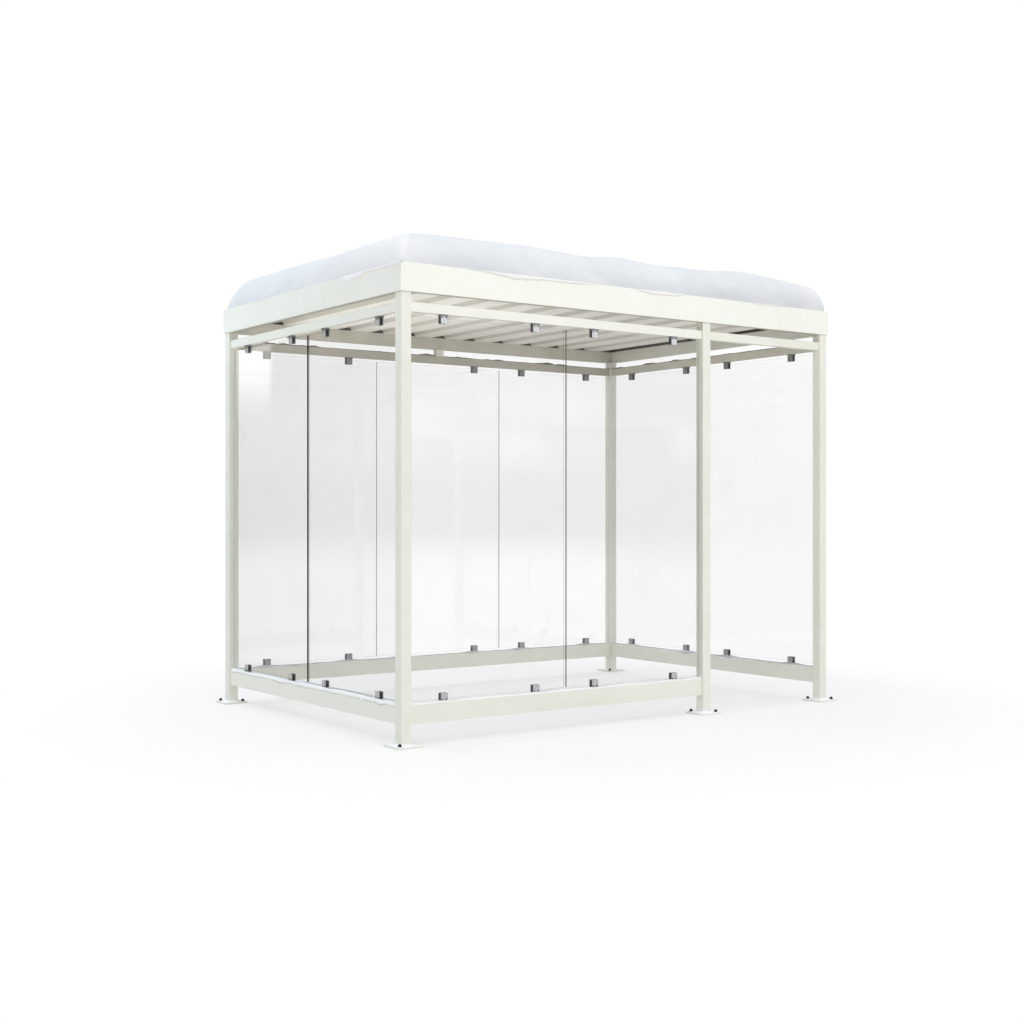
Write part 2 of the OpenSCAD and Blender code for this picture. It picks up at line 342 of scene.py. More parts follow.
def dress(node_name, look, edge=0.0, segments=2):
    """Gives a CAD node its finish and rounds its edges."""
    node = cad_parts[node_name]
    node.data.materials.clear()
    node.data.materials.append(look)
    if edge:
        weld = node.modifiers.new("weld", "WELD")
        weld.merge_threshold = 0.00002
        bevel = node.modifiers.new("edges", "BEVEL")
        bevel.width = edge
        bevel.segments = segments
        bevel.limit_method = "ANGLE"
        bevel.angle_limit = math.radians(40)


frame_coat = powder_coat("frame_coat", COAT_PALE, COAT_DULL)
dress("base_plates", frame_coat, PLATE_EDGE)

# ---------------------------------------------------------------------------
# Floor anchors. Two studs a plate with steel washers, each under a black plastic
# cap that is pushed over the nut.
CAP_BLACK = (0.012, 0.012, 0.013, 1)
CAP_DUST = (0.16, 0.17, 0.18, 1)
CAP_EDGE = 0.0006
cap_look, tree = new_look("anchor_caps")
dust = cloud(tree, "dust", coordinate(tree), 60, 4)
dusted = spread(tree, "dusted", dust, 0.45, 0.8, 0, 0.3)
finish_solid(tree, "black plastic",
             {"Base Color": blend_colour(tree, "dusty", dusted, CAP_BLACK, CAP_DUST),
              "Roughness": spread(tree, "wear", dust, 0.3, 0.8, 0.35, 0.6)})
dress("anchor_bolts", cap_look, CAP_EDGE)

# ---------------------------------------------------------------------------
# Posts. Five 60 mm square steel tubes from the plates to the roof beams, coated
# cream white, with the small corner radius of drawn tube.
POSTS = ("front_left", "back_left", "door", "front_right", "back_right")
TUBE_EDGE = 0.0013
for name in POSTS:
    dress("post_" + name, frame_coat, TUBE_EDGE)

# ---------------------------------------------------------------------------
# Rails. Rectangular steel tubes welded between the posts: 100 mm high below the glass
# and 50 mm high above it, with a header over the doorway and a short stub on the back
# rail. The frame's coat, with paler and duller copies as painted light and painted shade,
# as each rail stands in the light.
WALLS = ("front", "back", "left", "right")
# Paler and duller copies of the frame's coat: painted light on the lit rails, painted shade on the shaded
# ones.
painted_light_coat = powder_coat("painted_light_coat", (0.885, 0.89, 0.825, 1), (0.865, 0.87, 0.80, 1))
painted_shade_coat = powder_coat("painted_shade_coat", (0.66, 0.65, 0.57, 1), (0.62, 0.61, 0.53, 1), 0.05)
shade_coat = powder_coat("shade_coat", (0.54, 0.525, 0.46, 1), (0.51, 0.495, 0.43, 1), 0.05)
upper_light_and_shade_coats = {"front": painted_light_coat, "left": painted_light_coat, "back": shade_coat, "right": painted_shade_coat}
for wall in WALLS:
    dress("lower_rail_" + wall, painted_light_coat if wall == "left" else frame_coat, TUBE_EDGE)
    dress("upper_rail_" + wall, upper_light_and_shade_coats[wall], TUBE_EDGE)
for name in ("door_header_rail", "back_rail_stub"):
    dress(name, frame_coat, TUBE_EDGE)

# ---------------------------------------------------------------------------
# Roof beams. Mitred 80 by 40 mm steel tubes on the posts' heads, which carry the
# deck and the fascia. The frame's coat, mixed duller as painted shade under the roof's edge, less so on the
# right.
# Duller copies of the frame's coat, as painted shade; the right beam's is a little paler.
paler_painted_shade_coat = powder_coat("paler_painted_shade_coat", (0.775, 0.78, 0.71, 1), (0.745, 0.75, 0.68, 1))
for wall in WALLS:
    dress("roof_beam_" + wall, paler_painted_shade_coat if wall == "right" else painted_shade_coat, TUBE_EDGE)

# ---------------------------------------------------------------------------
# Fascia. Mitred steel strips 150 mm high and 3 mm thick on the beams' outer faces,
# coated like the frame but paler, as painted light, with frost clinging in pale patches.
FASCIA_EDGE = 0.0008
# Paler than the frame's coat: painted light on the fascia.
fascia_coat = powder_coat("fascia_coat", (0.905, 0.915, 0.85, 1), (0.885, 0.895, 0.827, 1), 0.42, 0.38)
for wall in WALLS:
    dress("fascia_" + wall, fascia_coat, FASCIA_EDGE)

# ---------------------------------------------------------------------------
# Roof deck. Trapezoidal steel sheet coated satin white, its ribs running from front
# to back, screwed down on the beams. The insides of the ribs are painted darker, as painted shade.
DECK_DULL = (0.875, 0.86, 0.80, 1)
DECK_PALE = (0.92, 0.905, 0.855, 1)
DECK_MARK = (0.70, 0.69, 0.62, 1)
DECK_RIB_SHADE = (0.655, 0.64, 0.58, 1)
RIB_SHADE_FROM = 0.0005
RIB_SHADE_FULL = 0.003
deck_look, tree = new_look("deck_sheet")
place = coordinate(tree)
tone = spread(tree, "cloudy tone", cloud(tree, "tone", place, 3.1, 4), 0.36, 0.66)
colour = blend_colour(tree, "sheet", tone, DECK_DULL, DECK_PALE)
rolled = cloud(tree, "rolling marks", scaled_place(tree, (90, 2.5, 90)), 1.0)
colour = blend_colour(tree, "marked", spread(tree, "marks", rolled, 0.52, 0.8, 0, 0.14),
                      colour, DECK_MARK)
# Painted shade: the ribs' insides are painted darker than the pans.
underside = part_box("roof_deck")[0].z
rib_shade = spread(tree, "up inside the ribs", axes_of(tree, "height", place)["Z"],
                underside + RIB_SHADE_FROM, underside + RIB_SHADE_FULL)
colour = blend_colour(tree, "painted shade in the ribs", rib_shade, colour, DECK_RIB_SHADE)
finish_solid(tree, "coated sheet",
             {"Base Color": colour, "Roughness": spread(tree, "satin", tone, 0, 1, 0.36, 0.48),
              "Normal": relief(tree, "rolled", rolled, 0.12, 0.001)})
dress("roof_deck", deck_look)

# ---------------------------------------------------------------------------
# Rib fillers. Strips of dark closed-cell foam cut to the ribs, pressed in between
# the sheet and the beams before the sheet was screwed down.
FOAM_DARK = (0.050, 0.050, 0.043, 1)
FOAM_PALE = (0.085, 0.085, 0.074, 1)
FOAM_DUST = (0.15, 0.15, 0.13, 1)
foam_look, tree = new_look("filler_foam")
place = coordinate(tree)
cells = cloud(tree, "cells", place, 380, 3, 0.7)
dusty = spread(tree, "dusty", cloud(tree, "dust", place, 14, 4), 0.45, 0.75, 0, 0.35)
foam_tone = blend_colour(tree, "cut foam", cells, FOAM_DARK, FOAM_PALE)
finish_solid(tree, "foam",
             {"Base Color": blend_colour(tree, "dusted foam", dusty, foam_tone, FOAM_DUST),
              "Roughness": spread(tree, "matt", cells, 0.3, 0.7, 0.82, 0.95),
              "Normal": relief(tree, "cut cells", cells, 0.6, 0.0008)})
dress("rib_fillers", foam_look)

# ---------------------------------------------------------------------------
# Glass. Clear toughened panes 1 m by 2 m and 10 mm thick, their ground edges painted
# dark as shade, wall by wall, and paler by the posts. They stand free of each other, of
# the posts and of the rails, held only by the clamps.
GLASS_CLEAR = (0.990, 0.990, 0.990, 1)
GLASS_SMEAR = (0.975, 0.975, 0.975, 1)
PANE_EDGE = 0.0008


def toned(tone, blue):
    """A grey of that tone, with its blue a little more or less."""
    return tone, tone, blue * tone, 1


def clear_glass(name, across, dark, pale, through):
    """Clear glass for the panes of one wall.

    Across is the axis through their thickness, dark and pale are the tones of the painted shade
    on their ground edges, and through is how much of an edge shows from inside the glass.
    """
    look, tree = new_look(name)
    place = coordinate(tree)
    smear = spread(tree, "smears", cloud(tree, "smear", place, 3.5, 5, 0.7), 0.5, 0.8)
    clear = add_node(tree, "ShaderNodeBsdfTransparent", "through",
                     inputs={"Color": blend_colour(tree, "tint", smear, GLASS_CLEAR, GLASS_SMEAR)})
    gloss = add_node(tree, "ShaderNodeBsdfGlossy", "reflection",
                     inputs={"Color": (1, 1, 1, 1), "Roughness": 0.02})
    angle = add_node(tree, "ShaderNodeLayerWeight", "angle", inputs={"Blend": 0.5})
    steep = maths(tree, "glancing", "POWER", angle.outputs["Facing"], 5.0)
    shine = maths(tree, "reflectance", "MULTIPLY_ADD", steep, 0.96, 0.04)
    pane = mix_shaders(tree, "pane", shine, clear.outputs[0], gloss.outputs[0])
    facing = axes_of(tree, "way it faces", coordinate(tree, "Normal"))
    # The ground edges are painted dark as shade, paler by the posts and fainter seen from inside the glass.
    flat = maths(tree, "faces the weather", "ABSOLUTE", facing[across])
    rim = spread(tree, "ground edge", flat, 0.80, 0.55)
    inside = add_node(tree, "ShaderNodeNewGeometry", "seen from inside the glass").outputs["Backfacing"]
    faint = spread(tree, "faint through the pane", inside, 0.0, 1.0, 1.0, through)
    run = maths(tree, "from the middle", "ABSOLUTE", axes_of(tree, "place on the wall", place)[1 - across])
    kept = times(tree, faint, spread(tree, "painted edge shade paler by the posts", run, 0.85, 0.95, 1.0, 0.50))
    chips = cloud(tree, "chips", place, 240)
    edge = add_node(tree, "ShaderNodeBsdfPrincipled", "ground edge",
                    inputs={"Base Color": blend_colour(tree, "edge", chips, toned(dark, 0.97),
                                                       toned(pale, 0.97)),
                            "Roughness": 0.45})
    finish_look(tree, mix_shaders(tree, "pane and edge", times(tree, rim, kept), pane, edge.outputs[0]))
    return look


PANES = {"front": 2, "back": 3, "left": 2, "right": 2}
# What clear_glass takes after its name, for the panes of each wall, with the painted shade on their edges.
EDGE_SHADE_TONES = {"front": (1, 0.06, 0.18, 0.20), "back": (1, 0.30, 0.46, 0.10),
              "left": (0, 0.006, 0.020, 0.28), "right": (0, 0.16, 0.30, 0.10)}
for wall in WALLS:
    glass_look = clear_glass("clear_glass_" + wall, *EDGE_SHADE_TONES[wall])
    for number in range(PANES[wall]):
        dress(f"glass_{wall}_{number + 1}", glass_look, PANE_EDGE, 1)

# ---------------------------------------------------------------------------
# Glass clamps. Brushed stainless blocks 46 mm wide, two below and two above each
# pane. Two cheeks grip the glass through rubber pads, black end plates close
# them, and two black screws hold the outer cheek by the rail.
CLAMP_INSET = 0.200
CLAMP_TURNS = {"front": 0, "right": 90, "back": 180, "left": -90}
STEEL_FILM = (0.10, 0.10, 0.10, 1)
RUBBER_DARK = (0.085, 0.085, 0.085, 1)
RUBBER_PALE = (0.125, 0.125, 0.124, 1)
OUTER, INNER, BLACK = 0, 1, 2
# Each block's size, middle, edge radius and finish. The pads and the end plates are mirrored.
FOOT = ((0.0460, 0.0360, 0.0070), (0, 0, 0.0035), 0.0010, INNER)
SEAT = ((0.0415, 0.0115, 0.0075), (0, 0, 0.0105), 0.0004, BLACK)
OUTER_CHEEK = ((0.0415, 0.0054, 0.0412), (0, -0.0089, 0.0274), 0.0009, OUTER)
INNER_CHEEK = ((0.0415, 0.0054, 0.0412), (0, 0.0089, 0.0274), 0.0009, INNER)
PAD = ((0.0400, 0.0012, 0.0325), (0, 0.0056, 0.0305), 0.0002, BLACK)
END_PLATE = ((0.0018, 0.0056, 0.0405), (0.0216, 0.0087, 0.0273), 0.0005, BLACK)
SCREW_PLACE = (0.012, -0.0126, 0.0135)
SCREW_FOOT = 0.0047
SCREW_TOP = 0.0038
SCREW_TALL = 0.0026
SOCKET_RIM = 0.0016
SOCKET_DEEP = 0.0018


def metal_finish(name, low_tone, high_tone, rough):
    """Brushed steel with water stains; its tone runs from the lower clamps' to the upper ones', as painted
    light and shade.
    """
    look, tree = new_look(name)
    place = coordinate(tree)
    # Tone by height: painted highlight on the front's upper clamps, painted shade on the upper inner cheeks.
    upper = spread(tree, "upper clamps", axes_of(tree, "height", place)["Z"], 0.8, 1.8)
    colour = blend_colour(tree, "painted light and shade by height", upper, toned(low_tone, 1.02), toned(high_tone, 1.02))
    fine = cloud(tree, "brushing", scaled_place(tree, (900, 900, 30)), 1.0, 2)
    colour = blend_colour(tree, "brushed", spread(tree, "brush marks", fine, 0.3, 0.7, 0, 0.16),
                          colour, STEEL_FILM)
    stain = spread(tree, "water stains", cloud(tree, "stain", place, 95, 4, 0.6), 0.42, 0.66)
    colour = blend_colour(tree, "stained", times(tree, stain, 0.32), colour, STEEL_FILM)
    finish_solid(tree, "steel",
                 {"Base Color": colour, "Metallic": 0.30,
                  "Roughness": spread(tree, "polish", fine, 0.3, 0.7, rough - 0.05, rough + 0.07),
                  "Normal": relief(tree, "scratches", fine, 0.1, 0.0002)})
    return look


def rubber_finish(name):
    look, tree = new_look(name)
    grain = cloud(tree, "grain", coordinate(tree), 300)
    finish_solid(tree, "rubber",
                 {"Base Color": blend_colour(tree, "black", grain, RUBBER_DARK, RUBBER_PALE),
                  "Roughness": spread(tree, "matt", grain, 0.3, 0.7, 0.55, 0.75)})
    return look


def set_finish(faces, finish):
    for face in faces:
        face.material_index = finish


def plain_block(shape, size, middle):
    """Adds a plain block of that size round that middle, and gives its corners."""
    corners = bmesh.ops.create_cube(shape, size=1)["verts"]
    bmesh.ops.scale(shape, verts=corners, vec=size)
    bmesh.ops.translate(shape, verts=corners, vec=middle)
    return corners


def add_block(shape, block, mirror=(1, 1)):
    """A block with rounded edges, on the other side along X or Y where mirror is -1."""
    size, (x, y, z), radius, finish = block
    corners = plain_block(shape, size, (x * mirror[0], y * mirror[1], z))
    edges = [edge for edge in shape.edges if edge.verts[0] in corners]
    rounded = bmesh.ops.bevel(shape, geom=edges, offset=radius, offset_type="OFFSET", affect="EDGES",
                              segments=2, profile=0.5, material=-1, clamp_overlap=True)
    set_finish({face for vert in rounded["verts"] for face in vert.link_faces}, finish)


def add_screw(shape, place):
    """A black button-head screw with a socket, its head towards -Y."""
    turn = Matrix.Translation(place) @ Matrix.Rotation(math.radians(90), 4, "X")
    head = bmesh.ops.create_cone(shape, cap_ends=True, segments=18, radius1=SCREW_FOOT,
                                 radius2=SCREW_TOP, depth=SCREW_TALL, matrix=turn)["verts"]
    faces = {face for vert in head for face in vert.link_faces}
    set_finish(faces, BLACK)
    top = min(faces, key=lambda face: face.calc_center_median().y)
    bmesh.ops.inset_region(shape, faces=[top], thickness=SOCKET_RIM)
    bmesh.ops.translate(shape, verts=list(top.verts), vec=(0, SOCKET_DEEP, 0))


def clamp_shape():
    """One clamp on a rail face at z = 0, gripping a pane above it, its outside towards -Y."""
    shape = bmesh.new()
    for block in (FOOT, SEAT, OUTER_CHEEK, INNER_CHEEK):
        add_block(shape, block)
    for side in (-1, 1):
        add_block(shape, PAD, (1, side))
        for end in (-1, 1):
            add_block(shape, END_PLATE, (end, side))
        add_screw(shape, (side * SCREW_PLACE[0], SCREW_PLACE[1], SCREW_PLACE[2]))
    bmesh.ops.recalc_face_normals(shape, faces=shape.faces)
    return shape


def pane_clamps(wall):
    """The middle of each clamp along a wall, as (x, y)."""
    places = []
    for number in range(PANES[wall]):
        low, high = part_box(f"glass_{wall}_{number + 1}")
        middle = (low + high) / 2
        if wall in ("front", "back"):
            places += [(low.x + CLAMP_INSET, middle.y), (high.x - CLAMP_INSET, middle.y)]
        else:
            places += [(middle.x, low.y + CLAMP_INSET), (middle.x, high.y - CLAMP_INSET)]
    return places


# Lit and shaded copies of the steel: the front's brighter up high as painted highlight, the inner cheeks and
# feet darker as painted shade.
steel_highlit = metal_finish("steel_painted_highlight", 0.62, 0.98, 0.36)
steel_outer = metal_finish("brushed_steel", 0.70, 0.66, 0.36)
steel_shaded = metal_finish("steel_painted_shade", 0.42, 0.32, 0.42)
rubber = rubber_finish("clamp_rubber")
single = bpy.data.meshes.new("single_clamp")
shape = clamp_shape()
shape.to_mesh(single)
shape.free()
for wall in WALLS:
    shape = bmesh.new()
    lower_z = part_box("lower_rail_" + wall)[1].z
    upper_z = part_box("upper_rail_" + wall)[0].z
    turn = Matrix.Rotation(math.radians(CLAMP_TURNS[wall]), 4, "Z")
    for x, y in pane_clamps(wall):
        for z, over in ((lower_z, 0), (upper_z, 180)):
            before = len(shape.verts)
            shape.from_mesh(single)
            shape.verts.ensure_lookup_table()
            place = Matrix.Translation((x, y, z)) @ turn @ Matrix.Rotation(math.radians(over), 4, "Y")
            bmesh.ops.transform(shape, matrix=place, verts=shape.verts[before:])
    outer = steel_highlit if wall == "front" else steel_outer
    clamps = piece_from("glass_clamps_" + wall, shape, [outer, steel_shaded, rubber])
    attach(clamps, "root")
    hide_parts("clamps_" + wall)
bpy.data.meshes.remove(single)

# ---------------------------------------------------------------------------
# Roof snow. A settled bank that fills the roof inside the fascia, 210 to 260 mm deep over
# the ribs: upright sides that lean in towards a round shoulder, tighter at the doorway
# end, and a gently rolling top with slumps down its sides.
SNOW_TOP = 2.674
SNOW_PLAY = 0.0006
SNOW_CELLS = (110, 76, 9)
SAME_PLACE = 1e-5
SHOULDER_IN = 0.150
SHOULDER_DOWN = 0.190
TIGHTER_IN = 0.055
TIGHTER_DOWN = 0.045
SLUMP_DEEP = 0.007
LEAN_OUT = 0.006
FOLD_TALL = 0.004
# Each drift's place along X and Y, its height, and how wide it is.
SNOW_DRIFTS = ((-1.25, -0.88, 0.014, 0.17), (-0.86, -0.80, 0.022, 0.22), (-0.60, -0.90, 0.010, 0.16),
               (-0.06, -0.95, 0.021, 0.12), (0.62, -0.85, 0.012, 0.22), (0.90, -0.85, 0.034, 0.13),
               (1.13, -0.85, 0.027, 0.16), (1.62, -0.80, -0.014, 0.24), (-1.40, -0.45, 0.010, 0.25),
               (-1.40, 0.40, 0.016, 0.40), (-1.45, 0.95, 0.008, 0.22), (-0.35, 0.55, 0.012, 0.45),
               (0.75, 0.45, 0.016, 0.50))
SNOW_DEEP = (0.690, 0.712, 0.738, 1)
SNOW_PALE = (0.745, 0.765, 0.787, 1)
SNOW_TOP_SHADE = (0.40, 0.415, 0.43, 1)
SNOW_SIDE_SHADE = (0.50, 0.515, 0.54, 1)
SNOW_PAINTED_LIGHT = (0.895, 0.885, 0.88, 1)
# Where the painted light on the snow comes and goes: two stretches along X, and one along Y.
PAST_CORNER = (-1.47, -1.32)
DOORWAY_END = (1.30, 1.52)
BY_CORNER = (-0.50, -0.82)


def light_and_shade_on_snow(tree, place, colour):
    """The bank's colour: a darker top and darker upright sides as painted shade, and a whiter coat
    as painted light.

    The painted light lies on the left side, most of it near the front, and on the front's two ends.
    """
    # Painted shade on the top and the upright sides, painted light on the left side and the front's ends.
    facing = axes_of(tree, "way it faces", coordinate(tree, "Normal"))
    upward = spread(tree, "lies open to the sky", facing["Z"], 0.10, 0.85, 0, 0.07)
    colour = blend_colour(tree, "painted shade on top", upward, colour, SNOW_TOP_SHADE)
    foot = spread(tree, "painted shade on upright sides", facing["Z"], 0.0, 0.42, 0.35, 0)
    colour = blend_colour(tree, "shaded upright sides", foot, colour, SNOW_SIDE_SHADE)
    leftward = times(tree, spread(tree, "faces left", facing["X"], -0.05, -0.55),
                     spread(tree, "less round the corner", facing["Y"], -1.25, -0.35))
    spot = axes_of(tree, "place on the roof", place)
    past = spread(tree, "just past the corner", spot["X"], *PAST_CORNER, 0.28, 0)
    far = spread(tree, "at the doorway end", spot["X"], *DOORWAY_END, 0, 0.30)
    where = maths(tree, "where it lies", "MAXIMUM", leftward,
                  maths(tree, "front's ends", "MAXIMUM", past, far))
    corner = spread(tree, "by the corner", spot["Y"], *BY_CORNER, 0.375, 0.54)
    frontward = maths(tree, "more to the front", "MULTIPLY_ADD", spot["Y"], -0.25, corner)
    return blend_colour(tree, "painted light on the snow", times(tree, where, frontward), colour, SNOW_PAINTED_LIGHT)


def snow_finish(name, deep, pale, painted_light_and_shade=None):
    """Snow: packed and loose patches, lumps and grain."""
    look, tree = new_look(name)
    place = coordinate(tree)
    soft = spread(tree, "packed and loose", cloud(tree, "soft", place, 4.0, 4), 0.35, 0.68)
    colour = blend_colour(tree, "snow", soft, deep, pale)
    if painted_light_and_shade:
        colour = painted_light_and_shade(tree, place, colour)
    grain = cloud(tree, "grain", place, 210, 4, 0.65)
    lumps = relief(tree, "lumps", cloud(tree, "lump", place, 24, 4), 0.35, 0.006)
    finish_solid(tree, "snow",
                 {"Base Color": colour, "Normal": relief(tree, "fine grain", grain, 0.5, 0.0018, lumps),
                  "Roughness": spread(tree, "dry", grain, 0.3, 0.7, 0.68, 0.92),
                  "Specular IOR Level": 0.3})
    return look


def gridded_block(low, high, cells):
    """A block between two corners, cut into cells along X, Y and Z."""
    shape = bmesh.new()
    plain_block(shape, high - low, (low + high) / 2)
    for axis, count in enumerate(cells):
        along = [edge for edge in shape.edges
                 if abs(edge.verts[0].co[axis] - edge.verts[1].co[axis]) > SAME_PLACE]
        if count > 1:
            bmesh.ops.subdivide_edges(shape, edges=along, cuts=count - 1, use_grid_fill=True)
    return shape


def rough_height(x, y, scale, seed):
    """A rolling height, mostly between -1 and 1, that is the same each run."""
    return noise.fractal(Vector((x * scale + seed, y * scale - seed, seed * 0.37)), 0.9, 2.1, 4)


def snow_object(name, shape, look, smooth=0):
    """Makes a finished bmesh a piece of snow, with so many levels of smoothing."""
    bmesh.ops.recalc_face_normals(shape, faces=shape.faces)
    for face in shape.faces:
        face.smooth = True
    made = piece_from(name, shape, [look])
    if smooth:
        rounded = made.modifiers.new("smooth", "SUBSURF")
        rounded.levels = rounded.render_levels = smooth
    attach(made, "root")
    return made


def limit(value, low, high):
    return min(max(value, low), high)


def bank_point(point, half, foot_z):
    """Where a point of the plain block goes on the bank; half is half the block's size."""
    up = point.z - foot_z
    rightward = limit((point.x / half.x + 1) / 2, 0, 1)
    reach = SHOULDER_IN - TIGHTER_IN * rightward
    drop = SHOULDER_DOWN - TIGHTER_DOWN * rightward
    held = Vector((limit(point.x, reach - half.x, half.x - reach),
                   limit(point.y, reach - half.y, half.y - reach), min(up, 2 * half.z - drop)))
    out = Vector(((point.x - held.x) / reach, (point.y - held.y) / reach, (up - held.z) / drop))
    if out.length > 0:
        out = out.normalized()
    height = limit((held.z + out.z * drop) / (2 * half.z), 0, 1)
    aside = math.hypot(out.x, out.y)
    squarer = 2 + 9 * (1 - height) ** 2
    corner = 1
    if aside > 0:
        corner = (abs(out.x / aside) ** squarer + abs(out.y / aside) ** squarer) ** (-1 / squarer)
    new = Vector((held.x + out.x * reach * corner, held.y + out.y * reach * corner, height * 2 * half.z))
    roll = sum(tall * math.exp(-((new.x - x) ** 2 + (new.y - y) ** 2) / (2 * wide * wide))
               for x, y, tall, wide in SNOW_DRIFTS)
    new.z += height * height * (roll + FOLD_TALL * rough_height(new.x, new.y, 2.2, 3.1))
    slump = rough_height(new.x + new.y + new.z * 0.9, new.z * 0.5, 3.4, 8.4)
    bulge = rough_height(new.x + new.y, new.z * 1.4, 1.6, 2.2)
    inward = min(1, 2.5 * height) * (SLUMP_DEEP * slump + SLUMP_DEEP * bulge - LEAN_OUT)
    new.x += inward * out.x
    new.y += inward * out.y
    return Vector((new.x, new.y, new.z + foot_z))


snow_look = snow_finish("settled_snow", SNOW_DEEP, SNOW_PALE, light_and_shade_on_snow)
foot_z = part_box("roof_snow")[0].z
half = Vector((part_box("roof_beam_right")[1].x - SNOW_PLAY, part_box("roof_beam_back")[1].y - SNOW_PLAY,
               (SNOW_TOP - foot_z) / 2))
shape = gridded_block(Vector((-half.x, -half.y, foot_z)), Vector((half.x, half.y, SNOW_TOP)), SNOW_CELLS)
for vert in shape.verts:
    vert.co = bank_point(vert.co, half, foot_z)
roof_snow = snow_object("snow_roof", shape, snow_look, 1)
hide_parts("roof_snow")

# ---------------------------------------------------------------------------
# Snow lips. Where the bank has crept over the fascia, a thin lip hangs down its
# outer face: a short deep one and a thin trail on the left, wide faint ones in front.
LIP_THICK = 0.0065
LIP_HALF = 0.010
LIP_TALL = 0.030
LIP_TUCK = 0.0012
LIP_CROWN = 0.0048
LIP_LEAST = 0.0008
LIP_FULL = 0.004
LIP_CELL = 0.012
# Each lip's place along its wall, half its width, and how far it hangs.
SNOW_LIPS = {"left": ((-0.570, 0.092, 0.034), (-0.66, 0.060, 0.028), (-0.90, 0.24, 0.009),
                      (0.62, 0.20, 0.004)),
             "front": ((-0.86, 0.20, 0.030), (-0.60, 0.30, 0.013), (-1.04, 0.16, 0.005),
                       (0.17, 0.19, 0.020), (1.05, 0.16, 0.005)),
             "right": ((0.35, 0.22, 0.020), (-0.55, 0.26, 0.007)),
             "back": ((-0.95, 0.26, 0.022), (0.45, 0.32, 0.012), (1.20, 0.15, 0.006))}
# Lit and shaded copies of snow: the shaded left lip takes the whiter snow as painted light, the others a
# greyer one as painted shade.
fresh_look = snow_finish("fresh_snow", (0.92, 0.93, 0.95, 1), (0.96, 0.965, 0.975, 1))
shaded_lip_look = snow_finish("lip_snow_painted_shade", (0.83, 0.83, 0.82, 1), (0.87, 0.87, 0.865, 1))


def snow_lips(wall, seed):
    """The lips on one wall's fascia, as one piece that runs along its whole top."""
    low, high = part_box("fascia_" + wall)
    along = 0 if wall in ("front", "back") else 1
    across = 1 - along
    outside = 1 if wall in ("right", "back") else -1
    face = high[across] if outside > 0 else low[across]
    start, end = low.copy(), high.copy()
    start[across] = face - LIP_HALF
    end[across] = face + LIP_HALF
    start.z = high.z - LIP_TALL
    cells = [4, 4, 6]
    cells[along] = int((high[along] - low[along]) / LIP_CELL)
    shape = gridded_block(start, end, cells)
    for vert in shape.verts:
        spot = vert.co[along]
        side = (vert.co[across] - face) * outside / LIP_HALF
        down = (high.z - vert.co.z) / LIP_TALL
        hang = 0.0
        for place, reach, depth in SNOW_LIPS[wall]:
            near = max(0.0, 1 - abs((spot - place) / reach) ** 2.6)
            hang = max(hang, depth * near * (0.85 + 0.35 * rough_height(spot, place, 14.0, seed)))
        body = min(1.0, hang / LIP_FULL)
        if side > 0:
            round_off = math.sqrt(max(0.0, 1 - (2 * limit(down, 0, 1) - 1) ** 4))
            vert.co[across] = face + outside * (-LIP_TUCK + (LIP_TUCK + LIP_THICK) * side * body * round_off)
        crown = LIP_CROWN * body * (1 - down) * (1 - 0.5 * side * side)
        vert.co.z = high.z - LIP_TUCK + crown - down * (hang + LIP_LEAST)
    snow_object("snow_lip_" + wall, shape, fresh_look if wall == "left" else shaded_lip_look)


for index, wall in enumerate(WALLS):
    snow_lips(wall, 4.7 + 2.3 * index)

# ---------------------------------------------------------------------------
# Snow on the rails. A white band lies along the lower rails of the front and the
# left, and flat mounds round the clamps of the other two, which spill over the inner
# edge, greyed as painted shade. Thin wavy snow lies on the upper rails, painted dark grey as shade.
RAIL_OVERHANG = 0.0025
RAIL_SKIRT = 0.003
RAIL_SINK = 0.0010
RAIL_TUCK = 0.0008
RAIL_DROP = 0.002
RAIL_CELL = 0.009
MOUND_REACH = 0.105
SCOOP_ASIDE = 0.062
SCOOP_LONG = 0.034
SCOOP_WIDE = 0.45
SCOOP_IN = 0.15
SCOOP_DEEP = 0.85
SPILL_TUCK = 0.0006
SPILL_LEAST = 0.0005
MOUND_LEAST = 0.002
OUTERMOST = 0.999
FRINGE = 0.965
FRINGE_WAVE = 0.025
# Greyed and dark copies of the snow, as painted shade: grey-blue on the back and right lower rails, dark
# grey on the upper rails.
shaded_snow_look = snow_finish("snow_painted_shade", (0.52, 0.545, 0.59, 1), (0.72, 0.74, 0.77, 1))
dark_ridge_look = snow_finish("ridge_snow_painted_dark", (0.16, 0.155, 0.135, 1), (0.30, 0.29, 0.26, 1))


